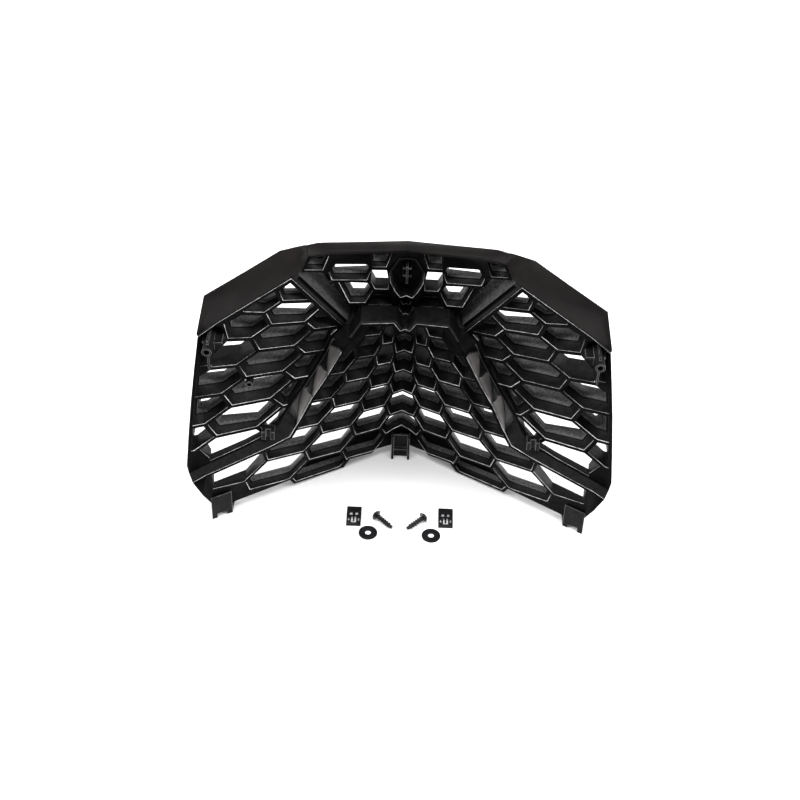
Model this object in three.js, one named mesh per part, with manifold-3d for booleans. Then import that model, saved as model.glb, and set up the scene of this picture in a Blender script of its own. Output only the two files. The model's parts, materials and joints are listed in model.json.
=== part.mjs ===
// Honeycomb front grille with its fixing hardware, in millimetres.
// +X is the viewer's right as seen from behind, +Y is the vehicle's forward direction and +Z is up.
// Everything is modelled for the left half (X < 0) and mirrored for the right half.

import * as THREE from 'three';
import { mergeVertices } from 'three/addons/utils/BufferGeometryUtils.js';
import Module from 'manifold-3d';

const wasm = await Module();
wasm.setup();

// Driving dimensions
const PROW_Y = 114; // rear face of the mesh on the centre line
const SWEEP = 0.6; // how far the mesh runs back for each mm away from the centre line
const SCOOP_LEAN = 0.13; // how far the scoop leans back for each mm of height
const SCOOP_FOOT = 12; // height at which the scoop meets the swept plane
const WING_RIB = 4; // thickness of the ribs between the wing cells
const SCOOP_RIB = 3.2; // thickness of the ribs between the scoop cells
const BORDER = 3.5; // width of the solid border round each mesh
const SKIN = 3; // thickness of shells and plates
const GAP = 0.3; // clearance between neighbouring pieces
const SMALLEST_CELL = 150; // clipped cells with less area than this stay closed, in mm2

// Depth of the honeycomb walls, front to back. They get shallower towards the foot of the panel: the share of
// the depth left is given for two heights. Around one spot they are shallower too, by another share
const WING_WALLS = {
  depth: 34, foot: [0, 0.3], full: [45, 1], spot: { at: [108, 262], near: 28, far: 40, share: 0.6 },
}; // its heights are measured from the leg of the ridge
const SCOOP_WALLS = {
  depth: 35, foot: [35, 0.62], full: [120, 1], spot: { at: [205, 45], near: 10, far: 45, share: 0.5 },
};
const UPPER_DEPTH = 21;
const LEG = { from: [136, 97], to: [224, 76] }; // lower border of the wing: distance from the middle, height

// The cell corners of each honeycomb follow one smooth grid. first is the left corner of cell (0, 0),
// column and row are the steps to the next cell, and the other terms stretch the grid away from there.
// short is the short upright side of a cell.
const WING_GRID = {
  first: [-142.5, 256.5],
  column: [44, -3.5],
  row: [-13, -25.5],
  twist: [4.2, 2.1],
  rowStretch: [-0.65, -1.15],
  columnStretch: [4.2, 0.5],
  short: [5.4, -17.2],
  shortPerColumn: [2.1, 5.1],
  shortPerRow: [1, -1.1],
};
const SCOOP_GRID = {
  first: [-38.4, 138.6],
  column: [31.6, 12.3],
  row: [-7.8, -32.6],
  twist: [6, 1.5],
  rowStretch: [-0.65, -1.1],
  columnStretch: [-6.5, -0.3],
  short: [2.9, -17.3],
  shortPerColumn: [0.6, -1],
  shortPerRow: [0.9, -0.7],
};

// Outlines of the left half, as [x, z]
// The rim's inner line lies on the swept plane and its outer line stands forward of it by turn
const SHOULDER = [
  { inner: [-205.1, 254.6], outer: [-206, 257], turn: 0.6 },
  { inner: [-190, 263.9], outer: [-197.5, 297], turn: 3 },
  { inner: [-155.5, 276.4], outer: [-160, 307.5], turn: 10 },
  { inner: [-117, 291.8], outer: [-127.5, 318], turn: 14 },
  { inner: [-106.2, 296], outer: [-109.5, 317.5], turn: 14 },
  { inner: [-100.1, 309.6], outer: [-103.2, 317], turn: 14 },
  { inner: [-99.6, 312.6], outer: [-102.1, 316.6], turn: 14 },
];
const RIM_TOP = [
  { inner: [-99.2, 312.4], outer: [-101.7, 316.3], turn: 14 },
  { inner: [-91.5, 311.5], outer: [-91, 315.5], turn: 14 },
  { inner: [-77, 310.2], outer: [-76, 310.6], turn: 14 },
  { inner: [0, 284], outer: [0, 283.2], turn: 14 },
];
const LEFT_EDGE = [[-225.5, 88], [-222, 123], [-216, 176], [-211, 213], [-206.5, 244], [-205.2, 253]];
const RIDGE_WING_SIDE = [
  [-65, 208], [-75, 201], [-82, 182.5], [-94.5, 161.5], [-107, 142], [-120, 124],
  [-133, 101], [-150, 90], [-168, 85.5], [-190, 82], [-210, 79], [-224, 76],
];
const RIDGE_SCOOP_SIDE = [
  [-55, 209], [-62, 199], [-69, 185.5], [-83, 158.5], [-97, 135.5], [-110, 107],
  [-121, 86.5], [-141.5, 81.5], [-162, 78], [-187.5, 74], [-207.5, 71], [-220, 66.5],
];
const BOTTOM_EDGE = [
  [-212, 40.5], [-203.5, 19], [-184.5, 9.5], [-178, 11], [-123, 13], [-119, 4],
  [-65, 2], [-57.5, 12.3], [-33, 9], [-28.5, 13.5], [-10, 11.5], [0, 11.5],
];
const ARCH = [[-18, 33], [-9, 37.3], [0, 38.8]]; // lower edge of the opening above the centre tab
const SCOOP_CORNER = [[-230, 0], [-201.5, 0], [-201.5, 90], [-230, 90]]; // the panels are solid here
const WING_CORNER = [[-230, 70], [-203, 70], [-203, 88], [-213, 106], [-230, 106]];
const BOSS_POCKET = [
  [-200.5, 252.5], [-188, 260], [-184, 256], [-178.5, 240], [-177.5, 226], [-192.5, 212], [-205, 215.5],
];
const UPPER_LEFT_EDGE = [
  [-45.3, 226], [-58, 232], [-61.5, 237], [-71, 262.5], [-77.5, 271], [-81.5, 284], [-85.5, 286.5],
  [-105.5, 294.5],
];

// The shelf steps down to a narrow foot in the middle
const CENTRE_STEP = { foot: [-5, 196], top: [-12, 211] };
const SCOOP_TOP = [-45, 225]; // outer end of the scoop's top edge
const UPPER_TOP_EDGE = [[-99, 308.6], [-77, 305.9], [0, 279.9]];
const UPPER_OPEN = [
  [[-72.7, 291.8], [-41.4, 279.8], [-37.7, 270], [-41.9, 260.1], [-76.2, 273.3], [-79.6, 284.5]],
  [[-69.8, 268.3], [-40.6, 255.7], [-35.3, 244.2], [-43.3, 231.4], [-59, 237.5]],
  [[-36.7, 270.9], [-21.5, 264.7], [-18.9, 249.2], [-19.6, 239.5], [-32.8, 245], [-37.7, 257]],
];
const UPPER_CLOSED = [
  [[-102.8, 296], [-97, 307.1], [-79.6, 304.9], [-85.6, 289.4]],
  [[-37.4, 291.2], [-16.5, 284.2], [-22.2, 269.3], [-36.8, 274.8]],
  [[-34.5, 238.6], [-19, 233.6], [-14.8, 222], [-14.8, 216.6], [-40, 227]],
  [[-5, 219.8], [-8.5, 212], [-3.4, 199.5], [3.4, 199.5], [8.5, 212], [5, 219.8]],
];
const SHIELD = [[0, 272.6], [-9, 275.4], [-18.6, 262], [-17, 247], [-11.5, 233], [-6.3, 223.3]];

const SIDE_BOSS = {
  at: [-194.4, 246], outer: 5, bore: 3, from: -22, floor: 18,
  web: { half: 1, up: 9, down: 28, left: 9, right: 15, from: -15, crossFrom: -6 },
};
const LOCATING_PEG = { at: [-160, 173], outer: 4, bore: 2.2, from: -3, to: 22, web: 4 };
const CUP = { from: 0.5, to: 21, wall: 2 };
const PIN = {
  halfThick: 1.2, z: [240, 262], from: -2, to: 14.9, halfReach: 4.5, ribs: [257, 247.5], ribFrom: 2,
};
const RIM_CROWN = 0.8; // height of the rim's crown above its edges
const CREST = [[0, 0], [0.3, 0.5], [0.6, 3.5], [0.85, 4], [1, 1.5]]; // ridge section: share of width, rise
const RIDGE_SKIN = 4;
const RIDGE_END_SKIN = [24, 16]; // the upper end reaches further forward, below the recess
const RECESS_FLOOR = 20;
const RECESS = [
  [-115.7, 290], [-105.7, 294.2], [-85.8, 286.2], [-81.9, 283.7], [-77.9, 270.8], [-71.3, 262.3],
  [-61.8, 236.8], [-58.2, 231.6], [-46, 225.5], [-55.3, 209.6], [-65, 208.6],
];
const RECESS_WALLS = [
  [-121, 296], [-109.5, 292.5], [-61, 214], [-57, 213], [-49.5, 226.5], [-43, 227], [-52, 203], [-70, 203],
]; // the edges of the recess inside this outline have walls
const RECESS_PEG = { at: [-78, 262], radius: 3.2, length: 9 };
const CORNER_TAB = { x: [-204.2, -183.4], depth: [-5, 11], wall: 2.6, top: 32, slot: 6, lean: 3 };
const CENTRE_TAB = {
  halfWidth: 10.5, height: 33, y: [95, 104.2], plate: 3, rib: 2.6, catch: [12, 14.5], catchFrom: 2,
};
const BRACKET = { at: [-143, 98.5], size: [14, 12, 11], forward: 8, slot: 5 };

const WASHER = { outer: 10.3, bore: 3.4, thickness: 1.5, bevel: 0.25 };
const SCREW = {
  length: 26, crown: 2.8, dome: 4.6, domeHeight: 1.9, flange: 5.9, headHeight: 3.2,
  shank: 1.9, thread: 3.1, pitch: 3, drive: 2, driveDepth: 1.8, tip: 2, point: 1.9,
};
const CLIP_NUT = { width: 16, length: 28, height: 3.6, sheet: 1.2, window: [6.7, -12.5, 9.5] };
// Openings in one half of the clip nut's upper leaf, as [x from, x to, y from, y to]
const CLIP_OPENINGS = [
  [1.6, 4.6, 0.4, 5.2], [0.9, 2.8, -11.4, -1.6], [4.7, 6.2, -8.8, -3.6], [0, 2.8, -11.4, -9],
];

const BLACK = { color: 0x1b1a1a, roughness: 0.55, metalness: 0 };
const SMOOTH_BLACK = { color: 0x242121, roughness: 0.38, metalness: 0 };
const BLACK_STEEL = { color: 0x17171a, roughness: 0.35, metalness: 0.7 };

// Solids and geometries

function toSolid(geometry) {
  const bare = new THREE.BufferGeometry();
  bare.setAttribute('position', geometry.getAttribute('position').clone());
  if (geometry.index) bare.setIndex(geometry.index.clone());
  const merged = mergeVertices(bare, 1e-4);
  const mesh = new wasm.Mesh({
    numProp: 3,
    vertProperties: new Float32Array(merged.getAttribute('position').array),
    triVerts: new Uint32Array(merged.index.array),
  });
  return new wasm.Manifold(mesh);
}

function toGeometry(solid) {
  const mesh = solid.getMesh();
  const geometry = new THREE.BufferGeometry();
  geometry.setAttribute('position', new THREE.BufferAttribute(Float32Array.from(mesh.vertProperties), 3));
  geometry.setIndex(Array.from(mesh.triVerts));
  return geometry;
}

function joined(solids) {
  return solids.reduce((whole, next) => whole.add(next));
}

function volumeOf(solid) {
  const { vertProperties: v, triVerts: t } = solid.getMesh();
  let six = 0;
  for (let k = 0; k < t.length; k += 3) {
    const [a, b, c] = [0, 1, 2].map((n) => new THREE.Vector3().fromArray(v, 3 * t[k + n]));
    six += a.dot(b.cross(c));
  }
  return six / 6;
}

// Moves every point of a geometry by a function of its place
function warped(geometry, move) {
  const position = geometry.getAttribute('position');
  const p = new THREE.Vector3();
  for (let k = 0; k < position.count; k++) {
    p.fromBufferAttribute(position, k);
    move(p);
    position.setXYZ(k, p.x, p.y, p.z);
  }
  return geometry;
}

function mirrored(geometry) {
  const copy = warped(geometry.clone(), (p) => {
    p.x = -p.x + 0;
  });
  const index = copy.index.array;
  for (let k = 0; k < index.length; k += 3) {
    [index[k + 1], index[k + 2]] = [index[k + 2], index[k + 1]];
  }
  return copy;
}

function sweptY(x) {
  return PROW_Y - SWEEP * Math.abs(x);
}

function scoopY(x, z) {
  return sweptY(x) - SCOOP_LEAN * (z - SCOOP_FOOT);
}

// Runs from start to end while value runs from one limit to the other, and stays there beyond them
function slope(value, from, to, start, end) {
  const inside = THREE.MathUtils.clamp(value, Math.min(from, to), Math.max(from, to));
  return THREE.MathUtils.mapLinear(inside, from, to, start, end);
}

// The share of its full depth that a wall has, height being measured in the way that walls.foot is
function depthShare(x, z, height, { foot, full, spot }) {
  const fromSpot = Math.hypot(Math.abs(x) - spot.at[0], z - spot.at[1]);
  const aboveFoot = slope(height, foot[0], full[0], foot[1], full[1]);
  return aboveFoot * slope(fromSpot, spot.near, spot.far, spot.share, 1);
}

function legHeight(x) {
  return slope(Math.abs(x), LEG.from[0], LEG.to[0], LEG.from[1], LEG.to[1]);
}

// A flat piece is modelled with its rear face at Y = 0, then sheared onto the swept plane
function ontoSweep(solid) {
  return warped(toGeometry(solid), (p) => {
    p.y += sweptY(p.x);
  });
}

// A honeycomb is laid onto the swept or the scoop plane, and gets its varying depth
function wingOnSweep(solid) {
  return warped(toGeometry(solid), (p) => {
    p.y = p.y * depthShare(p.x, p.z, p.z - legHeight(p.x), WING_WALLS) + sweptY(p.x);
  });
}

function onScoop(solid) {
  return warped(toGeometry(solid), (p) => {
    p.y = p.y * depthShare(p.x, p.z, p.z, SCOOP_WALLS) + scoopY(p.x, p.z);
  });
}

// An [x, z] outline extruded forward from one depth to another
function prism(points, from, to) {
  const shape = new THREE.Shape(points.map(([x, z]) => new THREE.Vector2(x, z)));
  const geometry = new THREE.ExtrudeGeometry(shape, { depth: to - from, bevelEnabled: false });
  geometry.rotateX(Math.PI / 2);
  geometry.translate(0, to, 0);
  return toSolid(geometry);
}

function box(low, high) {
  const size = high.map((value, k) => value - low[k]);
  const geometry = new THREE.BoxGeometry(...size);
  geometry.translate(...high.map((value, k) => (value + low[k]) / 2));
  return toSolid(geometry);
}

// A round bar along Y
function bar([x, z], radius, from, to, sides = 24) {
  const geometry = new THREE.CylinderGeometry(radius, radius, to - from, sides);
  geometry.translate(x, (from + to) / 2, z);
  return toSolid(geometry);
}

// Moves each side of an outline inwards
function inset(points, distance) {
  const turn = Math.sign(THREE.ShapeUtils.area(points.map(([x, z]) => new THREE.Vector2(x, z))));
  const sides = points.map((p, k) => {
    const q = points[(k + 1) % points.length];
    const length = Math.hypot(q[0] - p[0], q[1] - p[1]);
    const along = [(q[0] - p[0]) / length, (q[1] - p[1]) / length];
    const start = [p[0] - along[1] * distance * turn, p[1] + along[0] * distance * turn];
    return { start, along };
  });
  return sides.map((side, k) => {
    const before = sides[(k + sides.length - 1) % sides.length];
    const cross = before.along[0] * side.along[1] - before.along[1] * side.along[0];
    if (Math.abs(cross) < 1e-6) return side.start;
    const gap = [side.start[0] - before.start[0], side.start[1] - before.start[1]];
    const reach = (gap[0] * side.along[1] - gap[1] * side.along[0]) / cross;
    return [before.start[0] + before.along[0] * reach, before.start[1] + before.along[1] * reach];
  });
}

// The opening left inside a border: corners closer together than the border is wide become one
function windowInside(outline, border) {
  const spread = outline.filter((p, k) => {
    const q = outline[(k + outline.length - 1) % outline.length];
    return Math.hypot(p[0] - q[0], p[1] - q[1]) > 2 * border;
  });
  return inset(spread, border);
}

function flipX(points) {
  return points.map(([x, z]) => [-x, z]).reverse();
}

// The whole symmetric outline, from the points of its left half
function bothHalves(left) {
  return [...left, ...flipX(left).filter(([x]) => x !== 0)];
}

// Honeycomb

function blend(terms) {
  return [0, 1].map((axis) => terms.reduce((sum, [weight, step]) => sum + weight * step[axis], 0));
}

function leftCorner(grid, i, j) {
  return blend([
    [1, grid.first], [i, grid.column], [j, grid.row],
    [i * j, grid.twist], [j * j, grid.rowStretch], [i * i, grid.columnStretch],
  ]);
}

function lowerCorner(grid, i, j) {
  const corner = leftCorner(grid, i, j);
  return blend([[1, corner], [1, grid.short], [i, grid.shortPerColumn], [j, grid.shortPerRow]]);
}

function cellOutline(grid, i, j) {
  return [
    leftCorner(grid, i, j), lowerCorner(grid, i, j), leftCorner(grid, i + 1, j + 1),
    lowerCorner(grid, i + 1, j), leftCorner(grid, i + 1, j), lowerCorner(grid, i, j - 1),
  ];
}

// Cuts cells into a flat panel down to a depth, as far as the window inside its border lets them
function withCells(panel, window, cells, rib, depth) {
  const opening = prism(window, -1, depth);
  return cells.reduce((cut, cell) => {
    const hole = prism(inset(cell, rib / 2), -1, depth).intersect(opening);
    return volumeOf(hole) > SMALLEST_CELL * depth ? cut.subtract(hole) : cut;
  }, panel);
}

// A shell between two rails: each section is a closed loop of points, all with the same count
function loft(sections) {
  const count = sections[0].length;
  const vertices = sections.flat().map((p) => [p.x, p.y, p.z]);
  const index = [];
  for (let s = 0; s + 1 < sections.length; s++) {
    for (let k = 0; k < count; k++) {
      const a = s * count + k;
      const b = s * count + ((k + 1) % count);
      index.push(a, b, a + count, b, b + count, a + count);
    }
  }
  const last = (sections.length - 1) * count;
  for (let k = 0; k < count / 2 - 1; k++) {
    const far = count - 1 - k;
    index.push(k, far, k + 1, k + 1, far, far - 1);
    index.push(last + k, last + k + 1, last + far, last + k + 1, last + far - 1, last + far);
  }
  const geometry = new THREE.BufferGeometry();
  geometry.setAttribute('position', new THREE.Float32BufferAttribute(vertices.flat(), 3));
  geometry.setIndex(index);
  const solid = toSolid(geometry);
  if (volumeOf(solid) > 0) return solid;
  for (let k = 0; k < index.length; k += 3) [index[k + 1], index[k + 2]] = [index[k + 2], index[k + 1]];
  geometry.setIndex(index);
  return toSolid(geometry);
}

// Pieces of the left half

function wingOutline() {
  return [
    ...LEFT_EDGE, [-186, 263.2], [-116, 290.2], ...RIDGE_WING_SIDE,
  ];
}

function wingMesh() {
  const outline = wingOutline();
  const cells = [];
  for (let i = -1; i <= 1; i++) {
    for (let j = -1; j <= 5; j++) {
      if (i >= 0 || j < 5) cells.push(cellOutline(WING_GRID, i, j));
    }
  }
  const { depth } = WING_WALLS;
  const plain = prism(outline, 0, depth);
  const open = withCells(plain, windowInside(outline, BORDER), cells, WING_RIB, depth + 1);
  const cornerPlate = plain.intersect(prism(WING_CORNER, 0, depth));
  return open.add(cornerPlate).subtract(prism(BOSS_POCKET, -1, depth + 1));
}

function scoopOutline() {
  const { foot, top } = CENTRE_STEP;
  return bothHalves([foot, top, SCOOP_TOP, ...RIDGE_SCOOP_SIDE, ...BOTTOM_EDGE]);
}

function centreCell(j) {
  const side = [
    lowerCorner(SCOOP_GRID, 1, j - 1), leftCorner(SCOOP_GRID, 1, j), lowerCorner(SCOOP_GRID, 1, j),
  ];
  return [...side, ...flipX(side)];
}

// The cells of the scoop left of its middle column, as [column, first row, last row]
const SCOOP_COLUMNS = [[-3, 1, 1], [-2, -2, 2], [-1, -3, 2], [0, -2, 2]];

function scoopMesh() {
  const { depth } = SCOOP_WALLS;
  const outline = scoopOutline();
  const window = windowInside(outline, BORDER);
  const open = [];
  for (const [column, first, last] of SCOOP_COLUMNS) {
    for (let row = first; row <= last; row++) open.push(cellOutline(SCOOP_GRID, column, row));
  }
  for (let row = -1; row <= 2; row++) open.push(centreCell(row));
  const archSide = [lowerCorner(SCOOP_GRID, 1, 2), leftCorner(SCOOP_GRID, 1, 3), ...ARCH];
  open.push([...archSide, ...flipX(archSide).slice(1)]);
  const closed = [cellOutline(SCOOP_GRID, 0, 3), cellOutline(SCOOP_GRID, -1, 3)];
  const plain = prism(outline, 0, depth);
  const cornerPlate = plain.intersect(prism(SCOOP_CORNER, 0, depth));
  const cut = withCells(plain, window, open, SCOOP_RIB, depth + 1);
  return withCells(cut, window, closed, SCOOP_RIB, depth - 2 * SKIN).add(cornerPlate);
}

function upperOutline() {
  const [foot, top] = [CENTRE_STEP.foot, CENTRE_STEP.top].map(([x, z]) => [x + GAP, z + GAP]);
  return bothHalves([foot, top, ...UPPER_LEFT_EDGE, ...UPPER_TOP_EDGE]);
}

function upperMesh() {
  const through = UPPER_OPEN.map((cell) => prism(cell, -1, UPPER_DEPTH + 1));
  const pockets = UPPER_CLOSED.map((cell) => prism(cell, -1, UPPER_DEPTH - SKIN));
  const shield = prism(bothHalves(SHIELD), -1, UPPER_DEPTH + 1);
  return [...through, ...pockets, shield].reduce(
    (plate, hole) => plate.subtract(hole), prism(upperOutline(), 0, UPPER_DEPTH),
  );
}

function centreCup() {
  const outline = bothHalves(SHIELD);
  const outer = prism(inset(outline, GAP), CUP.from, CUP.to);
  const inner = prism(inset(outline, GAP + CUP.wall), -1, CUP.to - SKIN);
  return outer.subtract(inner);
}

// An upright fin with cross ribs, standing out of the cup's floor
function centrePin() {
  const { halfThick, z, halfReach, ribs, from, ribFrom, to } = PIN;
  const fin = box([-halfThick, PROW_Y + from, z[0]], [halfThick, PROW_Y + to, z[1]]);
  const cross = ribs.map((height) => box(
    [-halfReach, PROW_Y + ribFrom, height - halfThick], [halfReach, PROW_Y + to, height + halfThick],
  ));
  return joined([fin, ...cross]);
}

// The shelf runs along the scoop's top edge and fills the step between the scoop's plane and the swept plane
function shelfHalf() {
  const { foot, top } = CENTRE_STEP;
  const ring = bothHalves([foot, top, SCOOP_TOP, RIDGE_SCOOP_SIDE[0], [0, 100]]);
  const above = [[-60, 211], [-60, 250], [0, 250], [0, 190]];
  const band = prism(inset(ring, -GAP - SKIN), 0, 1).subtract(prism(inset(ring, -GAP), -1, 2));
  return warped(toGeometry(band.intersect(prism(above, 0, 1))), (p) => {
    p.y = p.y > 0.5 ? sweptY(p.x) - GAP : scoopY(p.x, p.z);
  });
}

// The ridge bridges the corridor between the wing on the swept plane and the scoop on its own plane
function ridge() {
  const sections = RIDGE_WING_SIDE.map((wing, k) => {
    const scoop = RIDGE_SCOOP_SIDE[k];
    const a = new THREE.Vector3(wing[0], sweptY(wing[0]), wing[1]);
    const b = new THREE.Vector3(scoop[0], scoopY(...scoop), scoop[1]);
    const width = a.distanceTo(b);
    a.lerp(b, GAP / width);
    b.lerp(a, GAP / width);
    const rear = CREST.map(([share, rise]) => {
      const p = a.clone().lerp(b, share);
      p.y -= rise;
      return p;
    });
    const skin = RIDGE_END_SKIN[k] ?? RIDGE_SKIN;
    const front = rear.map((p) => new THREE.Vector3(p.x, p.y + skin, p.z)).reverse();
    return [...rear, ...front];
  });
  return loft(sections);
}

function recessPanel() {
  const outline = inset(RECESS, GAP);
  const floor = prism(outline, RECESS_FLOOR, RECESS_FLOOR + SKIN);
  const top = RECESS_FLOOR + SKIN;
  const walls = prism(outline, 0, top).subtract(prism(inset(outline, SKIN), -1, top));
  return floor.add(walls.intersect(prism(RECESS_WALLS, -1, top + 1)));
}

// What of a solid of the left half is behind the given depth of the swept plane
function behindSweep(solid, depth) {
  const room = prism([[-300, 0], [0, 0], [0, 400], [-300, 400]], -100, depth);
  return solid.intersect(toSolid(ontoSweep(room)));
}

// A round bar along Y, from and to being measured from the swept plane at its axis
function barFromSweep(at, radius, from, to, sides) {
  const y = sweptY(at[0]);
  return bar(at, radius, y + from, y + to, sides);
}

function recessPeg() {
  const { at, radius, length } = RECESS_PEG;
  const peg = barFromSweep(at, radius, RECESS_FLOOR - length, RECESS_FLOOR + radius, 16);
  return behindSweep(peg, RECESS_FLOOR - GAP);
}

function sideBoss() {
  const { at: [x, z], outer, bore, from, floor, web } = SIDE_BOSS;
  const y = sweptY(x);
  const outline = inset(BOSS_POCKET, GAP);
  const plate = toSolid(ontoSweep(prism(outline, floor, floor + SKIN)));
  const tube = barFromSweep([x, z], outer, from, floor + outer);
  const front = y + 2 * floor;
  const upright = box([x - web.half, y + web.from, z - web.down], [x + web.half, front, z + web.up]);
  const cross = box([x - web.left, y + web.crossFrom, z - web.half], [x + web.right, front, z + web.half]);
  const ribs = upright.add(cross).intersect(toSolid(ontoSweep(prism(outline, -2 * floor, 2 * floor))));
  const standing = behindSweep(tube.add(ribs), floor + SKIN / 2);
  return plate.add(standing).subtract(barFromSweep([x, z], bore, from - 1, floor - outer));
}

function locatingPeg() {
  const { at, outer, bore, from, to, web } = LOCATING_PEG;
  return barFromSweep(at, outer, from, to, 20).subtract(barFromSweep(at, bore, from - 1, to - web, 16));
}

// The block that the bracket is cut from, made larger by grow on each side
function bracketBody(grow) {
  const [x, z] = BRACKET.at;
  const [width, depth, height] = BRACKET.size.map((value) => value / 2 + grow);
  const y = scoopY(x, z) + BRACKET.forward;
  return box([x - width, y - depth, z - height], [x + width, y + depth, z + height]);
}

function bracket() {
  const { at: [x, z], size: [, depth, height], forward, slot } = BRACKET;
  const rear = scoopY(x, z) + forward - depth / 2;
  const opening = box([x - slot / 2, rear - 1, z - height], [x + slot / 2, rear + slot, z + height]);
  return bracketBody(0).subtract(opening);
}

// A rectangle in X and Z, as an outline
function rectangle(x, z) {
  return [[x[0], z[0]], [x[1], z[0]], [x[1], z[1]], [x[0], z[1]]];
}

// A hollow block behind and below the scoop's foot, open downwards and notched at the rear
function cornerTab() {
  const { x: [left, right], depth: [rear, front], wall, top, slot, lean } = CORNER_TAB;
  const inside = rectangle([left + wall, right - wall], [-1, slot + wall]);
  const notch = rectangle([left + 2 * wall, right - 2 * wall], [-1, slot]);
  return prism(rectangle([left, right], [0, top]), rear, front)
    .subtract(prism(inside, rear + wall, front - wall))
    .subtract(prism(notch, rear - 1, rear + wall + 1))
    .subtract(prism(inset(scoopOutline(), -GAP), -lean, front + 1));
}

function centreTab() {
  const { halfWidth, height, y: [rear, front], plate, rib, catch: [low, high], catchFrom } = CENTRE_TAB;
  const back = box([-halfWidth, front - plate, 0], [halfWidth, front, height]);
  const left = box([-halfWidth, rear, 0], [-halfWidth + rib, front, height]);
  const right = box([halfWidth - rib, rear, 0], [halfWidth, front, height]);
  const catchBar = box([-halfWidth, rear + catchFrom, low], [halfWidth, front, high]);
  return joined([back, left, right, catchBar]);
}

// The rim is a shell from its inner line to its outer line, slightly crowned
function rimSection({ inner, outer, turn }) {
  const a = new THREE.Vector3(inner[0], sweptY(inner[0]), inner[1]);
  const b = new THREE.Vector3(outer[0], sweptY(outer[0]) + turn, outer[1]);
  const rise = Math.hypot(b.y - a.y, b.z - a.z);
  const normal = new THREE.Vector3(0, (a.z - b.z) / rise, (b.y - a.y) / rise);
  const middle = a.clone().lerp(b, 0.5).addScaledVector(normal, RIM_CROWN);
  const upper = [a, middle, b];
  const under = upper.map((p) => p.clone().addScaledVector(normal, -SKIN)).reverse();
  return [...upper, ...under];
}

function rimShoulder() {
  return loft(SHOULDER.map(rimSection));
}

function rimTopHalf() {
  return loft(RIM_TOP.map(rimSection));
}

// Hardware

function latheOf(profile, sides) {
  return new THREE.LatheGeometry(profile.map(([radius, height]) => new THREE.Vector2(radius, height)), sides);
}

function washer() {
  const { outer, bore, thickness, bevel } = WASHER;
  const profile = [
    [bore, 0], [outer - bevel, 0], [outer, bevel], [outer, thickness - bevel], [outer - bevel, thickness],
    [bore, thickness], [bore, 0],
  ];
  return latheOf(profile, 40).rotateX(Math.PI / 2);
}

// The screw points along +Y, from the top of its head to its tip
function screw() {
  const { length, crown, dome, domeHeight, flange, headHeight, shank, tip, point } = SCREW;
  const { thread, pitch, drive, driveDepth } = SCREW;
  const profile = [
    [0, 0], [crown, 0], [0.93 * dome, 0.45 * domeHeight], [dome, domeHeight],
    [flange, 0.84 * headHeight], [flange, headHeight], [shank, headHeight],
  ];
  for (let y = headHeight + pitch / 2; y + pitch < length - tip; y += pitch) {
    const crest = [[thread, y + 0.4 * pitch], [thread, y + 0.55 * pitch]];
    profile.push([shank, y], ...crest, [shank, y + 0.95 * pitch]);
  }
  profile.push([shank, length - tip], [point, length], [0, length]);
  const socket = new THREE.CylinderGeometry(drive, drive, 2 * driveDepth, 6);
  return toGeometry(toSolid(latheOf(profile, 20)).subtract(toSolid(socket)));
}

// A sheet folded over at its +Y end. Its lower leaf has one window, and its upper leaf has the same openings
// on both sides of the middle
function clipNut() {
  const { width, length, height, sheet, window: [reach, rear, front] } = CLIP_NUT;
  const end = length / 2;
  const fold = height / 2;
  const profile = new THREE.Shape();
  profile.moveTo(-end, 0);
  profile.lineTo(end - fold, 0);
  profile.absarc(end - fold, fold, fold, -Math.PI / 2, Math.PI / 2, false);
  profile.lineTo(-end, height);
  profile.lineTo(-end, height - sheet);
  profile.lineTo(end - fold, height - sheet);
  profile.absarc(end - fold, fold, fold - sheet, Math.PI / 2, -Math.PI / 2, true);
  profile.lineTo(-end, sheet);
  const strip = new THREE.ExtrudeGeometry(profile, { depth: width, bevelEnabled: false, curveSegments: 6 });
  strip.rotateX(Math.PI / 2);
  strip.rotateZ(Math.PI / 2);
  strip.translate(-width / 2, 0, 0);
  const openings = CLIP_OPENINGS.flatMap(([inner, outer, from, to]) => [
    box([inner, from, height - 2 * sheet], [outer, to, height + sheet]),
    box([-outer, from, height - 2 * sheet], [-inner, to, height + sheet]),
  ]);
  const sheared = openings.reduce((solid, opening) => solid.subtract(opening), toSolid(strip));
  return toGeometry(sheared.subtract(box([-reach, rear, -sheet], [reach, front, 2 * sheet])));
}

// Assembly

const root = new THREE.Group();

function add(name, geometry, finish) {
  const mesh = new THREE.Mesh(geometry, new THREE.MeshStandardMaterial(finish));
  mesh.name = name;
  root.add(mesh);
  return mesh;
}

function addPair(name, geometry, finish) {
  add(`${name}_left`, geometry, finish);
  add(`${name}_right`, mirrored(geometry), finish);
}

function folded(half) {
  return toGeometry(toSolid(half).add(toSolid(mirrored(half))));
}

function leftHalf(solid) {
  return solid.intersect(box([-400, -100, -50], [0, 200, 500]));
}

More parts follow.
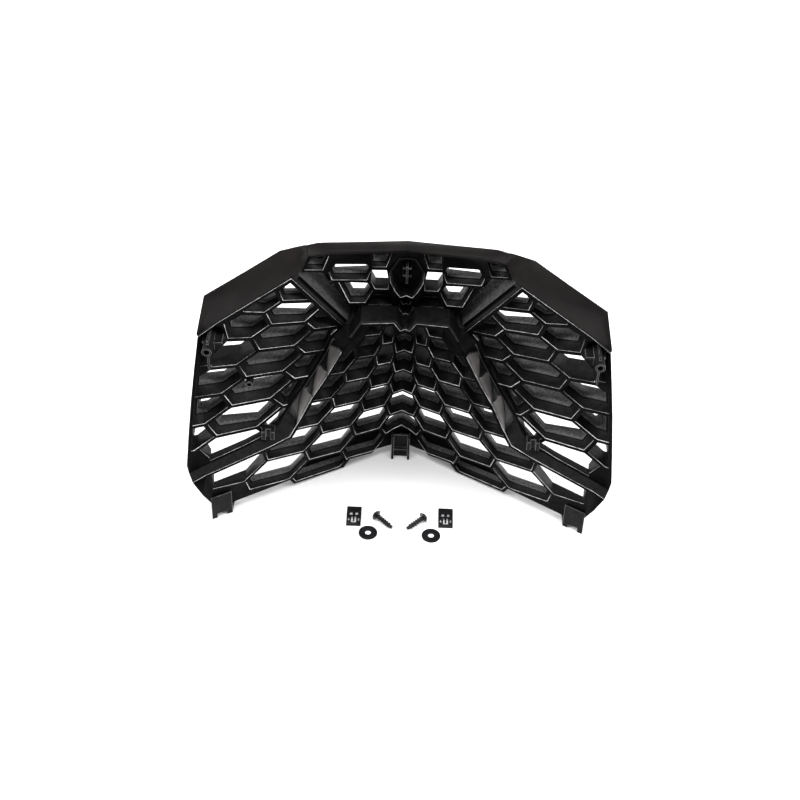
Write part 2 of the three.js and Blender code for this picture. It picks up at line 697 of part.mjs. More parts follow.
const wing = toSolid(wingOnSweep(wingMesh())).subtract(bracketBody(GAP));
const { at: pegAt, outer: pegRadius } = LOCATING_PEG;
const roomForPeg = barFromSweep(pegAt, pegRadius + GAP, -WING_WALLS.depth, 2 * WING_WALLS.depth, 20);
add('wing_mesh_left', toGeometry(wing.subtract(roomForPeg)), BLACK);
add('wing_mesh_right', mirrored(toGeometry(wing)), BLACK);
add('scoop_mesh', folded(onScoop(leftHalf(scoopMesh()))), BLACK);
add('upper_mesh', folded(ontoSweep(leftHalf(upperMesh()))), BLACK);
add('centre_cup', folded(ontoSweep(leftHalf(centreCup()))), BLACK);
add('centre_pin', toGeometry(centrePin()), BLACK);
add('shelf', folded(shelfHalf()), BLACK);
addPair('ridge', toGeometry(ridge().subtract(bracketBody(GAP))), SMOOTH_BLACK);
addPair('bracket', toGeometry(bracket()), BLACK);
addPair('recess_panel', ontoSweep(recessPanel()), BLACK);
addPair('recess_peg', toGeometry(recessPeg()), BLACK);
addPair('rim_shoulder', toGeometry(rimShoulder()), SMOOTH_BLACK);
add('rim_top', folded(toGeometry(rimTopHalf())), SMOOTH_BLACK);
addPair('side_boss', toGeometry(sideBoss()), BLACK);
add('locating_peg', toGeometry(locatingPeg()), BLACK);
addPair('corner_tab', ontoSweep(cornerTab()), BLACK);
add('centre_tab', toGeometry(centreTab()), BLACK);

// Lays a loose piece on the surface that the tabs stand on
function lay(mesh, x, y) {
  mesh.position.set(x, y, 0);
  mesh.updateMatrixWorld(true);
  mesh.position.z = -new THREE.Box3().setFromObject(mesh, true).min.z;
}

// A screw lies on the edge of its flange and on its last thread
function layScrew(name, head, tip) {
  const mesh = add(name, screw(), BLACK_STEEL);
  const lever = SCREW.length - SCREW.tip - SCREW.headHeight - SCREW.pitch / 2;
  const droop = Math.asin((SCREW.flange - SCREW.thread) / lever);
  mesh.rotation.set(-droop, 0, Math.atan2(tip[1] - head[1], tip[0] - head[0]) - Math.PI / 2, 'ZXY');
  lay(mesh, ...head);
}

lay(add('washer_left', washer(), BLACK_STEEL), -31.8, -24.7);
lay(add('washer_right', washer(), BLACK_STEEL), 37.5, -25.4);
lay(add('clip_nut_left', clipNut(), BLACK_STEEL), -48.5, -0.9);
lay(add('clip_nut_right', clipNut(), BLACK_STEEL), 53.3, 1.5);
layScrew('screw_left', [-25.6, -0.6], [-4.1, -18.8]);
layScrew('screw_right', [30.7, -1.2], [12.6, -16.6]);

root.updateMatrixWorld(true);
const bounds = new THREE.Box3().setFromObject(root, true);
const centre = bounds.getCenter(new THREE.Vector3());
root.position.set(-centre.x, -centre.y, -bounds.min.z);

export default root;
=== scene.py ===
"""Black moulded honeycomb front grille, seen from behind, with its loose fixings on a pale table."""

import json
import math

import bmesh
import bpy
from mathutils import Matrix, Vector
from mathutils.geometry import intersect_point_line


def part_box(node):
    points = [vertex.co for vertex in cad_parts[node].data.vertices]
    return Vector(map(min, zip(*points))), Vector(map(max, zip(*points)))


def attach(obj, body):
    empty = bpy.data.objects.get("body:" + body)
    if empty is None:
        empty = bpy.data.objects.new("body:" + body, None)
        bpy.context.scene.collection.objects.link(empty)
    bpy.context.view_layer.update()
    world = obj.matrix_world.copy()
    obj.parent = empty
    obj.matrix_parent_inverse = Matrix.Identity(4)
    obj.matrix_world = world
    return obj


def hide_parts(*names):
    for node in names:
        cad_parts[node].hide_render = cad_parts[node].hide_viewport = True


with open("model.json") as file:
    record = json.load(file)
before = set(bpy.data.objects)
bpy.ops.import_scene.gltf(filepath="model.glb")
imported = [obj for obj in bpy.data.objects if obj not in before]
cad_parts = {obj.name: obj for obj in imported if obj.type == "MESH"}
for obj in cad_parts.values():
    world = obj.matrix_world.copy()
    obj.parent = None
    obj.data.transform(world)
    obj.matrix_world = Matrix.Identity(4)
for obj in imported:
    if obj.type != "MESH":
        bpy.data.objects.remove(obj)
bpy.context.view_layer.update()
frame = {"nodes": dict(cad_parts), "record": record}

MM = 0.001

# CAD nodes: by how their names start, the ones that are plain black with no painted highlight on their edges,
# and the ones that sit in an opening of a mesh
HARDWARE = ("screw", "washer", "clip_nut")
SMOOTH = ("rim",)
DARK = ("shelf", "centre_cup")
FILLED_BY = ("centre_cup", "side_boss_left", "side_boss_right")

# Places in the lists of materials: for painted highlights on the edges of every piece, then on a honeycomb
# for the walls beyond their step, painted lighter, and for what faces the rear, painted in shade, on a ridge
# for its fins, painted with a highlight, and its foot, and on a recess for its fillet, painted lighter
HIGHLIGHT_EDGE = 1
LIT_FRONT_BAND, SHADED_REAR_FACE = 2, 3
LIT_FIN_FACE, RIDGE_FOOT = 2, 3
LIT_FILLET_FACE = 1

# Camera: it looks along +Y from above and behind, at the grille's middle, which is behind the centre tab
CAMERA_DISTANCE = 1500 * MM
CAMERA_ELEVATION = math.radians(40)
CAMERA_ROLL = math.radians(2.2)
CAMERA_YAW = math.radians(0.16)
CAMERA_TARGET_HEIGHT = 150 * MM
CAMERA_TARGET_BEHIND_TAB = 44.2 * MM
CAMERA_LENS = 62.7
CAMERA_SENSOR = 36
CAMERA_CLIP = 20
CAMERA_SHIFT = (-0.0037, -0.0246)

# The studio, in metres and watts: each light has a name, a place, a size and a power
FLOOR_REACH = 6
FLOOR_COLOUR = (0.92, 0.92, 0.92, 1)
LIGHTS = (
    ("top", (0, -0.3, 2.2), (2.4, 1.6), 55),
    ("left", (-1.6, -0.35, 0.95), (0.5, 1.4), 30),
    ("right", (1.6, -0.35, 0.95), (0.5, 1.4), 30),
)
LIGHTS_AIM = (0, 0, 0.15)
WORLD_STRENGTH = 0.75

# The moulded plastics: between which values of the noise they drift, the noise scale of their roughness, and
# the strength of their grain
COLOUR_DRIFT = (0.35, 0.7)
ROUGH_DRIFT = (0.3, 0.7)
ROUGH_SCALE = 130
GRAIN_STRENGTH = 0.5

# Limits in reading the CAD meshes: what counts as one corner, one flat face or one place across the grille,
# how much of a wall's normal may lie along Y, and when two walls count as parallel
SAME_CORNER = 0.02 * MM
SAME_FACE = math.radians(0.6)
SAME_PLACE = 0.1 * MM
WALL_TILT = 0.05
PARALLEL = 0.05

# The grille's own planes and lines, in mm from the middle of its rear face: the mesh lies on a swept plane,
# and the scoop leans back from it
PROW = 114
SWEEP = 0.6
SCOOP_LEAN = 0.13
SCOOP_FOOT = 12
TAB_FRONT = 104.2
RIDGE_WING_SIDE = (
    (-65, 208), (-75, 201), (-82, 182.5), (-94.5, 161.5), (-107, 142), (-120, 124),
    (-133, 101), (-150, 90), (-168, 85.5), (-190, 82), (-210, 79), (-224, 76),
)
RIDGE_SCOOP_SIDE = (
    (-55, 209), (-62, 199), (-69, 185.5), (-83, 158.5), (-97, 135.5), (-110, 107),
    (-121, 86.5), (-141.5, 81.5), (-162, 78), (-187.5, 74), (-207.5, 71), (-220, 66.5),
)
SCOOP_TOP_END = (-45, 225)
RECESS_EDGE = ((-109.5, 292.5), (-61, 214))

# The recess, in mm: its fillet narrows from the first radius to the second, and starts a lip away from the
# wing's edge. Rear corners of the CAD panel that are in the band are on its own edge, and move to the lip
RECESS_FLOOR = 20
RECESS_FILLET = (10, 3)
RECESS_LIP = 0.4
RECESS_REAR = 1
RECESS_BAND = (2, 5)
RECESS_SKIN = 0.5 * MM
RECESS_STEPS = 24
RECESS_TURNS = 12

# Each fin of the ridge runs from a wide top to a tip on the scoop's side, at these heights. The taper is the
# power by which it narrows
FINS = ((192, 165), (167, 137), (139, 102))
FIN_SLOPE = 5
FIN_BULGE = 2.5
FIN_TAPER = 0.6
FIN_LEAST = 0.01

# How steeply the upper end and the flank of a fin rise, and how far up the rise starts
FIN_HEAD = (5, 0.35)
FIN_FLANK = (9, 0.3)

# The valley that the fins stand in, how steep its side is, and how it fades out above and below the fins
VALLEY = 6
VALLEY_FLANK = 5
VALLEY_ABOVE = 6
VALLEY_BELOW = 8
VALLEY_FADE = 12

# The ridge as a whole: how steep its side along the scoop is, its thickness, and the columns of its mesh
RIDGE_FLANK = 12
RIDGE_SKIN = 4
RIDGE_END_SKIN = 24
RIDGE_COLUMNS = 28

# The cell walls step inwards part of the way along, and then lean in
WALL_STEP_AT = 0.5
WALL_STEP = 1.3 * MM
STEP_SLOPE = 0.1
WALL_LEAN = 3.6 * MM
LOW_WALL_LEAN = 1.3 * MM
LEAN_HEIGHTS = (40 * MM, 130 * MM)
STRAIGHT_AT = Vector((108, 262)) * MM
STRAIGHT_REACH = (22 * MM, 45 * MM)
FULL_DEPTH = 20 * MM
NARROW = 20 * MM

# Edges: the widths of their bevels, and where the ones with painted highlights are. Each honeycomb has a
# share of painted highlight for its outline and one for its edges along the sweep
EDGE_WIDTH = 0.42 * MM
MOULDED_WIDTH = 0.4 * MM
RIM_WIDTH = 0.3 * MM
STEEL_WIDTH = 0.12 * MM
EDGE_SEGMENTS = 3
ROUNDED = math.radians(30)
RIDGE_BORDER = 7 * MM
BORDER_OVERLAP = 0.1
FACES_UP = 0.05
EDGE_HIGHLIGHTS = (
    ("wing_mesh_left", 0.6, 0.04), ("wing_mesh_right", 0.6, 0.04),
    ("upper_mesh", 0, 0.2), ("scoop_mesh", 0.7, 0.15),
)
ALONG_SWEEP = (0.2, 0.7)
RIM_JOINT = 0.4 * MM
RIM_END = 4 * MM
REAR_FACING = -0.5
SHARP = math.radians(35)


# Studio


def make_camera():
    target = Vector((0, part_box("centre_tab")[1].y - CAMERA_TARGET_BEHIND_TAB, CAMERA_TARGET_HEIGHT))
    back = Vector((
        math.sin(CAMERA_YAW) * math.cos(CAMERA_ELEVATION),
        -math.cos(CAMERA_YAW) * math.cos(CAMERA_ELEVATION),
        math.sin(CAMERA_ELEVATION),
    ))
    data = bpy.data.cameras.new("camera")
    data.lens = CAMERA_LENS
    data.sensor_width = CAMERA_SENSOR
    data.shift_x, data.shift_y = CAMERA_SHIFT
    data.clip_end = CAMERA_CLIP
    camera = bpy.data.objects.new("camera", data)
    bpy.context.scene.collection.objects.link(camera)
    turn = (-back).to_track_quat("-Z", "Y").to_matrix().to_4x4()
    camera.matrix_world = (
        Matrix.Translation(target + back * CAMERA_DISTANCE) @ turn @ Matrix.Rotation(CAMERA_ROLL, 4, "Z")
    )
    bpy.context.scene.camera = camera


def make_floor():
    material = bpy.data.materials.new("floor")
    material.use_nodes = True
    shader = material.node_tree.nodes["Principled BSDF"]
    shader.inputs["Base Color"].default_value = FLOOR_COLOUR
    shader.inputs["Roughness"].default_value = 0.9
    mesh = bpy.data.meshes.new("floor")
    corners = [(FLOOR_REACH * x, FLOOR_REACH * y, 0) for x, y in ((-1, -1), (1, -1), (1, 1), (-1, 1))]
    mesh.from_pydata(corners, [], [(0, 1, 2, 3)])
    floor = bpy.data.objects.new("floor", mesh)
    mesh.materials.append(material)
    bpy.context.scene.collection.objects.link(floor)


def area_light(name, place, size, power):
    data = bpy.data.lights.new(name, "AREA")
    data.shape = "RECTANGLE"
    data.size, data.size_y = size
    data.energy = power
    light = bpy.data.objects.new(name, data)
    bpy.context.scene.collection.objects.link(light)
    light.location = place
    light.rotation_mode = "QUATERNION"
    light.rotation_quaternion = (Vector(LIGHTS_AIM) - Vector(place)).to_track_quat("-Z", "Y")


def make_lights():
    world = bpy.data.worlds.new("studio")
    world.use_nodes = True
    world.node_tree.nodes["Background"].inputs["Color"].default_value = (1, 1, 1, 1)
    world.node_tree.nodes["Background"].inputs["Strength"].default_value = WORLD_STRENGTH
    bpy.context.scene.world = world
    for light in LIGHTS:
        area_light(*light)
    bpy.context.scene.view_settings.view_transform = "Standard"


# Materials


def link(tree, start, output, end, socket):
    tree.links.new(start.outputs[output], end.inputs[socket])


def noise(tree, scale, detail, rough=0.5):
    coordinates = tree.nodes.get("Texture Coordinate") or tree.nodes.new("ShaderNodeTexCoord")
    node = tree.nodes.new("ShaderNodeTexNoise")
    node.inputs["Scale"].default_value = scale
    node.inputs["Detail"].default_value = detail
    node.inputs["Roughness"].default_value = rough
    link(tree, coordinates, "Object", node, "Vector")
    return node


def ramp(tree, source, output, low, high):
    """A colour ramp between two (position, colour) pairs, fed by an output of a node."""
    node = tree.nodes.new("ShaderNodeValToRGB")
    link(tree, source, output, node, "Fac")
    for element, (position, colour) in zip(node.color_ramp.elements, (low, high)):
        element.position = position
        element.color = (*colour, 1)
    return node


def grey(value):
    return (value, value, value)


def moulding(name, dark, light, rough, gloss, grain, grain_height, mottle=40):
    """A moulded plastic: its colour and roughness drift a little, and a fine grain covers the surface."""
    material = bpy.data.materials.new(name)
    material.use_nodes = True
    tree = material.node_tree
    shader = tree.nodes["Principled BSDF"]
    shader.inputs["Specular IOR Level"].default_value = gloss
    patches = noise(tree, mottle, detail=4)
    colour = ramp(tree, patches, "Fac", *zip(COLOUR_DRIFT, (dark, light)))
    link(tree, colour, "Color", shader, "Base Color")
    rub = noise(tree, ROUGH_SCALE, detail=6, rough=0.65)
    roughness = ramp(tree, rub, "Fac", *zip(ROUGH_DRIFT, map(grey, rough)))
    link(tree, roughness, "Color", shader, "Roughness")
    texture = noise(tree, grain, detail=3, rough=0.6)
    bump = tree.nodes.new("ShaderNodeBump")
    bump.inputs["Strength"].default_value = GRAIN_STRENGTH
    bump.inputs["Distance"].default_value = grain_height
    link(tree, texture, "Fac", bump, "Height")
    link(tree, bump, "Normal", shader, "Normal")
    return material


def black_steel(name):
    dark, light = (0.003, 0.003, 0.0035), (0.012, 0.012, 0.014)
    material = moulding(name, dark, light, (0.3, 0.5), 0.3, 1600, 0.02 * MM)
    material.node_tree.nodes["Principled BSDF"].inputs["Metallic"].default_value = 0.4
    return material


def make_materials():
    deep, soft_deep = grey(0.0012), grey(0.003)
    brown, soft_brown = (0.0036, 0.0028, 0.0027), (0.007, 0.0055, 0.0053)
    # Painted highlight: the light grey of the ridge's fins stands in for a lamp's reflection on them
    lit_fin, soft_lit_fin = (0.05, 0.046, 0.046), (0.11, 0.1, 0.1)
    return {
        "black": moulding("plain_black", grey(0.002), grey(0.007), (0.42, 0.58), 0.1, 1400, 0.04 * MM, 200),
        # Painted shade: a darker copy of the black for faces turned to the camera and for the small risers of
        # the cell walls, shown as a dark line
        "deep": moulding("painted_shade_black", grey(0.0006), grey(0.0015), (0.5, 0.6), 0.03, 1400, 0.04 * MM),
        # Painted highlights: edge bevels get a lighter grey that stands in for the light their rounded edges
        # catch, bright on the cell walls and dim on the other pieces
        "edge": moulding("painted_highlight_edge", grey(0.16), grey(0.7), (0.25, 0.4), 0.6, 1400, 0.02 * MM, 120),
        "dim_highlight": moulding("dim_painted_highlight_edge", grey(0.03), grey(0.16), (0.3, 0.45), 0.4, 1400, 0.02 * MM, 120),
        # Painted light: a lighter copy of the black for wall bands and a fillet that the lamps light more;
        # its coarser grain is the plastic's own
        "lit_grained": moulding("lit_grained_black", grey(0.02), grey(0.08), (0.4, 0.6), 0.3, 1400, 0.06 * MM, 400),
        "lit_fin": moulding("painted_highlight_fin_black", lit_fin, soft_lit_fin, (0.3, 0.42), 0.6, 700, 0.02 * MM),
        "smooth": moulding("smooth_black", brown, soft_brown, (0.34, 0.46), 0.1, 700, 0.02 * MM),
        "glossy": moulding("glossy_black", deep, soft_deep, (0.28, 0.36), 0.6, 700, 0.01 * MM),
        "steel": black_steel("black_steel"),
    }


# Mesh work


def node_mesh(name):
    """A bmesh of a CAD node with its flat faces joined up again."""
    bm = bmesh.new()
    bm.from_mesh(frame["nodes"][name].data)
    bmesh.ops.remove_doubles(bm, verts=bm.verts, dist=SAME_CORNER)
    bmesh.ops.dissolve_limit(bm, angle_limit=SAME_FACE, verts=bm.verts, edges=bm.edges, delimit=set())
    return bm


def body_of(name):
    bodies = frame["record"]["behaviour"]["bodies"]
    return next(body for body, nodes in bodies.items() if name in nodes)


def piece(name, bm, nodes, finish):
    """Adds a mesh as a visible piece that stands for CAD nodes and rides on their body."""
    mesh = bpy.data.meshes.new(name)
    bm.to_mesh(mesh)
    bm.free()
    for material in finish:
        mesh.materials.append(material)
    made = bpy.data.objects.new(name, mesh)
    bpy.context.scene.collection.objects.link(made)
    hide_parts(*nodes)
    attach(made, body_of(nodes[0]))
    return made


def soften(made, width, limit=None):
    """Rounds the edges of a piece, either the weighted ones or those sharper than a limit, and gives the
    rounding the painted highlight material where the piece has one.
    """
    bevel = made.modifiers.new("edges", "BEVEL")
    bevel.width = width
    bevel.segments = EDGE_SEGMENTS
    bevel.limit_method = "WEIGHT" if limit is None else "ANGLE"
    bevel.angle_limit = limit or 0
    bevel.use_clamp_overlap = limit is not None
    bevel.harden_normals = True
    bevel.material = min(HIGHLIGHT_EDGE, len(made.data.materials) - 1)
    made.data.shade_smooth()


def is_wall(face):
    return abs(face.normal.y) < WALL_TILT


def wall_groups(bm):
    """The walls of each opening, as sets of faces joined along their edges."""
    groups = []
    left = {face for face in bm.faces if is_wall(face)}
    while left:
        group, queue = set(), [left.pop()]
        while queue:
            face = queue.pop()
            group.add(face)
            for edge in face.edges:
                for other in edge.link_faces:
                    if other in left:
                        left.remove(other)
                        queue.append(other)
        groups.append(group)
    return groups


def extent(faces):
    """The lowest and the highest corner of the box around some faces."""
    points = [vert.co for face in faces for vert in face.verts]
    return [Vector([pick(axis) for axis in zip(*points)]) for pick in (min, max)]


def spread(faces):
    """The area of the box around some faces, as seen from the rear."""
    low, high = extent(faces)
    return (high.x - low.x) * (high.z - low.z)


def is_filled(group):
    """Whether another piece sits in an opening, whose walls then have to stay plain."""
    low, high = extent(group)
    middles = [(corner + opposite) / 2 for corner, opposite in map(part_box, FILLED_BY)]
    return any(low.x < middle.x < high.x and low.z < middle.z < high.z for middle in middles)


def inward(normals):
    """The move in X and Z that takes a corner a unit away from each of its walls."""
    first = normals[0]
    second = min(normals, key=lambda n: n.dot(first))
    cross = first.x * second.z - first.z * second.x
    if abs(cross) < PARALLEL:
        return first.copy()
    return Vector(((second.z - first.z) / cross, 0, (first.x - second.x) / cross))


def lean_at(point):
    """How far the walls lean in: less near the foot, and not at all at one cell of each wing."""
    low, high = LEAN_HEIGHTS
    lean = LOW_WALL_LEAN + (WALL_LEAN - LOW_WALL_LEAN) * min(max((point.z - low) / (high - low), 0), 1)
    near, far = STRAIGHT_REACH
    distance = (Vector((abs(point.x), point.z)) - STRAIGHT_AT).length
    return lean * min(max((distance - near) / (far - near), 0), 1)


def crease(group):
    """Cuts the walls that cross the middle of the grille, where its planes are creased, in two."""
    for face in [face for face in group if len(face.verts) > 4]:
        middle = [vert for vert in face.verts if abs(vert.co.x) < SAME_PLACE]
        if len(middle) == 2:
            group.add(bmesh.utils.face_split(face, *middle)[0])


def step_walls(bm, group):
    """Gives the walls of one opening a small step part of the way in, and leans the rest inwards."""
    columns = {}
    for edge in {edge for face in group for edge in face.edges}:
        rear, front = sorted(edge.verts, key=lambda v: v.co.y)
        if (rear.co - front.co).xz.length < SAME_PLACE:
            side = inward([face.normal.copy() for face in edge.link_faces])
            depth = front.co.y - rear.co.y
            ledge = bm.verts.new(rear.co + Vector((0, depth * WALL_STEP_AT, 0)))
            step = WALL_STEP * min(depth / FULL_DEPTH, 1)
            away = Vector((0, step * STEP_SLOPE, 0))
            brow = bm.verts.new(ledge.co + (side + Vector((0, slide(rear, side), 0))) * step + away)
            lean = max(lean_at(rear.co) * min(depth / FULL_DEPTH, 1), step / 2)
            columns[rear] = (ledge, brow, front, (side + Vector((0, slide(front, side), 0))) * lean)
    for face in group:
        verts = list(face.verts)
        first = next(k for k in range(len(verts)) if verts[k] in columns and verts[k - 1] not in columns)
        start, end = verts[first], verts[(first + 1) % len(verts)]
        left, right = (start, *columns[start]), (end, *columns[end])
        # The rear band stays plain black, the riser is painted in shade as a dark line, and the band beyond
        # it is painted lighter
        for near, far in ((0, 1), (1, 2), (2, 3)):
            made = bm.faces.new((left[near], right[near], right[far], left[far]))
            made.material_index = (0, SHADED_REAR_FACE, LIT_FRONT_BAND)[near]
    bmesh.ops.delete(bm, geom=list(group), context="FACES_ONLY")
    for ledge, brow, front, move in columns.values():
        front.co += move


def slide(vert, side):
    """How far Y changes when a corner moves sideways on its first face that isn't a wall: far, if steep."""
    normal = next(face.normal for face in vert.link_faces if not is_wall(face))
    return -(normal.x * side.x + normal.z * side.z) / normal.y


def by_ridge(point):
    """Whether a point is beside the ridge: its steep part on the wing's side, or any part on the scoop's."""
    spot = Vector((-abs(point.x), point.z)) / MM
    for line in (RIDGE_WING_SIDE[1:7], (SCOOP_TOP_END, *RIDGE_SCOOP_SIDE)):
        for start, end in zip(line, line[1:]):
            near, share = intersect_point_line(spot, Vector(start), Vector(end))
            beside = -BORDER_OVERLAP < share < 1 + BORDER_OVERLAP
            if beside and (near.xy - spot).length * MM < RIDGE_BORDER:
                return True
    return False


def highlight_of(edge, outside, outline, level):
    """How much painted highlight a rear edge gets: only where its wall faces up towards the top light, less
    on the outline and the sweep.
    """
    faces = edge.link_faces
    ends = [face for face in faces if face.normal.y < REAR_FACING]
    if len(faces) != 2 or len(ends) != 1 or edge.calc_face_angle() < SHARP:
        return 0
    if any(face.material_index for face in faces):
        return 0
    wall = next(face for face in faces if face not in ends)
    if wall.normal.z < FACES_UP or edge.calc_length() < 2 * EDGE_WIDTH:
        return 0
    if all(by_ridge(vert.co) for vert in edge.verts):
        return 0
    if wall in outside:
        return outline
    sideways = -wall.normal.x * math.copysign(1, wall.calc_center_median().x)
    return level if ALONG_SWEEP[0] < sideways < ALONG_SWEEP[1] else 1


def honeycomb(name, finish, outline, level):
    """A mesh with stepped cell walls, and painted highlights on its rear edges by its shares for the outline
    and the sweep.
    """
    bm = node_mesh(name)
    *groups, outside = sorted(wall_groups(bm), key=spread)
    for group in groups:
        crease(group)
        low, high = extent(group)
        narrow = high.x - low.x < NARROW
        if all(len(face.verts) == 4 for face in group) and not is_filled(group) and not narrow:
            step_walls(bm, group)
    bm.normal_update()
    layer = bm.edges.layers.float.new("bevel_weight_edge")
    # The weights choose which bevels get the painted highlight
    for edge in bm.edges:
        edge[layer] = highlight_of(edge, outside, outline, level)
    # Painted shade: faces turned to the camera get the darker copy of the black
    for face in bm.faces:
        if face.normal.y < REAR_FACING:
            face.material_index = SHADED_REAR_FACE
    made = piece(name + "_cells", bm, [name], finish)
    soften(made, EDGE_WIDTH)
    return made


# The ridge and the recess


def place(x, z, depth, lean=0):
    """A point on the swept plane, or on the scoop's plane with its lean, in the frame."""
    y = PROW - SWEEP * abs(x) - lean * (z - SCOOP_FOOT) + depth
    return Vector((x * MM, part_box("centre_tab")[1].y + (y - TAB_FRONT) * MM, z * MM))


def smooth_step(value):
    value = min(max(value, 0), 1)
    return value * value * (3 - 2 * value)


def fin_at(height, across):
    """How far a place on the ridge is on a fin, from 0 to 1, and how far the fin stands out there."""
    for top, tip in FINS:
        along = (top - height) / (top - tip)
        if 0 <= along < 1:
            head = smooth_step(along * FIN_HEAD[0] + FIN_HEAD[1])
            width = max((1 - along) ** FIN_TAPER * head, FIN_LEAST)
            cover = smooth_step((width - across) * FIN_FLANK[0] + FIN_FLANK[1])
            return cover, FIN_BULGE * math.sin(math.pi * min(across / width, 1)) - FIN_SLOPE * (1 - along)
    return 0, 0


def ridge_rise(height, across):
    """How far the ridge stands out to the rear. Across is 0 on the scoop's side and 1 on the wing's."""
    above = smooth_step((FINS[0][0] + VALLEY_ABOVE - height) / VALLEY_ABOVE)
    below = smooth_step((height - FINS[-1][1] + VALLEY_BELOW) / VALLEY_FADE)
    rise = -VALLEY * smooth_step((1 - across) * VALLEY_FLANK) * (above * below)
    cover, stand = fin_at(height, across)
    return (rise + (stand - rise) * cover) * smooth_step(across * RIDGE_FLANK)


def ridge_sections():
    """Sections of the left ridge, each with its points from the scoop's side to the wing's."""
    sections = []
    for k in range(len(RIDGE_WING_SIDE) - 1):
        steps = max(1, round(math.dist(RIDGE_SCOOP_SIDE[k], RIDGE_SCOOP_SIDE[k + 1])))
        for step in range(steps + (k == len(RIDGE_WING_SIDE) - 2)):
            share = step / steps
            wing = Vector(RIDGE_WING_SIDE[k]).lerp(Vector(RIDGE_WING_SIDE[k + 1]), share)
            scoop = Vector(RIDGE_SCOOP_SIDE[k]).lerp(Vector(RIDGE_SCOOP_SIDE[k + 1]), share)
            start, end = place(*scoop, 0, SCOOP_LEAN), place(*wing, 0)
            section = []
            for column in range(RIDGE_COLUMNS + 1):
                across = column / RIDGE_COLUMNS
                point = start.lerp(end, across)
                point.y -= ridge_rise(scoop.y, across) * MM
                section.append(point)
            sections.append(section)
    return sections


def shell(bm, sections, skins):
    """A closed shell from the sections to the same ones moved forward, and the faces of its rear side."""
    rear = [[bm.verts.new(point) for point in section] for section in sections]
    front = [
        [bm.verts.new(point + Vector((0, skin, 0))) for point in section]
        for section, skin in zip(sections, skins)
    ]
    rows, columns = len(sections), len(sections[0])
    faces = []
    for i in range(rows - 1):
        for j in range(columns - 1):
            faces.append(bm.faces.new((rear[i][j], rear[i][j + 1], rear[i + 1][j + 1], rear[i + 1][j])))
            bm.faces.new((front[i][j], front[i + 1][j], front[i + 1][j + 1], front[i][j + 1]))
        for j in (0, columns - 1):
            bm.faces.new((rear[i][j], rear[i + 1][j], front[i + 1][j], front[i][j]))
    for i in (0, rows - 1):
        for j in range(columns - 1):
            bm.faces.new((rear[i][j], front[i][j], front[i][j + 1], rear[i][j + 1]))
    return faces


def ridge(side, finish):
    """A ridge with its fins, whose skin gets thicker towards its upper end."""
    bm = bmesh.new()
    sections = ridge_sections()
    thicker = (RIDGE_END_SKIN - RIDGE_SKIN) * MM
    top, tip = FINS[0]
    skins = [
        RIDGE_SKIN * MM + thicker * smooth_step((section[0].z / MM - tip) / (top - tip))
        for section in sections
    ]
    for k, face in enumerate(shell(bm, sections, skins)):
        row, column = divmod(k, RIDGE_COLUMNS)
        height = sections[row][0].z / MM
        # Painted highlights: a bright strip along the scoop's side, and a lighter grey on the fins where a
        # lamp would shine on them
        if column == 0 and height < top:
            face.material_index = HIGHLIGHT_EDGE
        elif fin_at(height, (column + 0.5) / RIDGE_COLUMNS)[0] > 0.5:
            face.material_index = LIT_FIN_FACE
        elif height < FINS[-1][1]:
            face.material_index = RIDGE_FOOT
    if side == "right":
        bmesh.ops.scale(bm, vec=(-1, 1, 1), verts=bm.verts)
    bmesh.ops.recalc_face_normals(bm, faces=bm.faces)
    return smooth_piece("ridge_" + side, "_fins", bm, finish)


def smooth_piece(name, ending, bm, finish):
    """A piece that is shaded smooth, apart from its sharp edges."""
    made = piece(name + ending, bm, [name], finish)
    made.data.shade_smooth()
    made.data.set_sharp_from_angle(angle=SHARP)
    return made


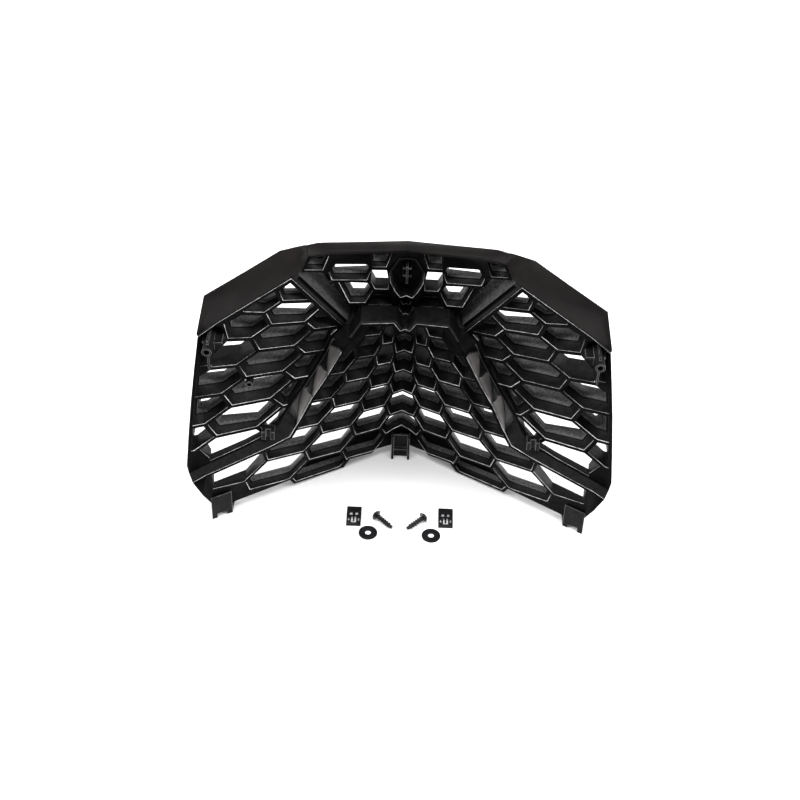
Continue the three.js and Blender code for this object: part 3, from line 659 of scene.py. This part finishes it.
def recess(side, finish):
    """The recessed panel, with a hollow fillet along the wing's edge down to its floor, the fillet painted
    lighter as if lit.
    """
    mirror = 1 if side == "left" else -1
    name = "recess_panel_" + side
    bm = node_mesh(name)
    start, end = (Vector(point) for point in RECESS_EDGE)
    along = (end - start).normalized()
    inward_of_edge = Vector((-along.y, along.x))
    for vert in bm.verts:
        point = Vector((-abs(vert.co.x), vert.co.z)) / MM
        distance = (point - start).dot(inward_of_edge)
        depth = (vert.co.y - place(point.x, point.y, 0).y) / MM
        if depth < RECESS_REAR and RECESS_BAND[0] < distance < RECESS_BAND[1]:
            point -= inward_of_edge * (distance - RECESS_LIP)
            vert.co = place(point.x, point.y, depth)
            vert.co.x *= mirror
    hollow = []
    for step in range(RECESS_STEPS + 1):
        at = start.lerp(end, step / RECESS_STEPS)
        fillet = RECESS_FILLET[0] + (RECESS_FILLET[1] - RECESS_FILLET[0]) * step / RECESS_STEPS
        section = []
        for turn in range(RECESS_TURNS + 1):
            angle = math.pi / 2 * turn / RECESS_TURNS
            point = at + inward_of_edge * (RECESS_LIP + fillet * (1 - math.cos(angle)))
            spot = place(point.x, point.y, RECESS_FLOOR * math.sin(angle))
            section.append(Vector((spot.x * mirror, spot.y, spot.z)))
        hollow.append(section)
    # Painted light: the fillet gets the lighter copy of the black
    for face in shell(bm, hollow, [RECESS_SKIN] * len(hollow)):
        face.material_index = LIT_FILLET_FACE
    bmesh.ops.recalc_face_normals(bm, faces=bm.faces)
    return smooth_piece(name, "_moulded", bm, finish)


def reach_out(bm, distance):
    """Moves the two ends of a piece outwards, so that they close the joints with its neighbours."""
    end = max(abs(vert.co.x) for vert in bm.verts)
    for vert in bm.verts:
        if abs(vert.co.x) > end - RIM_END:
            vert.co.x += math.copysign(distance, vert.co.x)


def plain_piece(name, finish, width):
    """A CAD node with its edges rounded."""
    bm = node_mesh(name)
    if name == "rim_top":
        reach_out(bm, RIM_JOINT)
    made = piece(name + "_moulded", bm, [name], finish)
    soften(made, width, ROUNDED)
    return made


make_camera()
make_floor()
make_lights()
LOOKS = make_materials()
CELLS = (LOOKS["black"], LOOKS["edge"], LOOKS["lit_grained"], LOOKS["deep"])
for node, outline, level in EDGE_HIGHLIGHTS:
    honeycomb(node, CELLS, outline, level)
for hand in ("left", "right"):
    ridge(hand, (LOOKS["glossy"], LOOKS["edge"], LOOKS["lit_fin"], LOOKS["black"]))
    recess(hand, (LOOKS["black"], LOOKS["lit_grained"]))
for node in sorted(frame["nodes"]):
    if frame["nodes"][node].hide_render:
        continue
    if node.startswith(HARDWARE):
        plain_piece(node, (LOOKS["steel"],), STEEL_WIDTH)
    elif node.startswith(SMOOTH):
        plain_piece(node, (LOOKS["smooth"],), RIM_WIDTH)
    elif node in DARK:
        plain_piece(node, (LOOKS["black"],), MOULDED_WIDTH)
    else:
        plain_piece(node, (LOOKS["black"], LOOKS["dim_highlight"]), MOULDED_WIDTH)
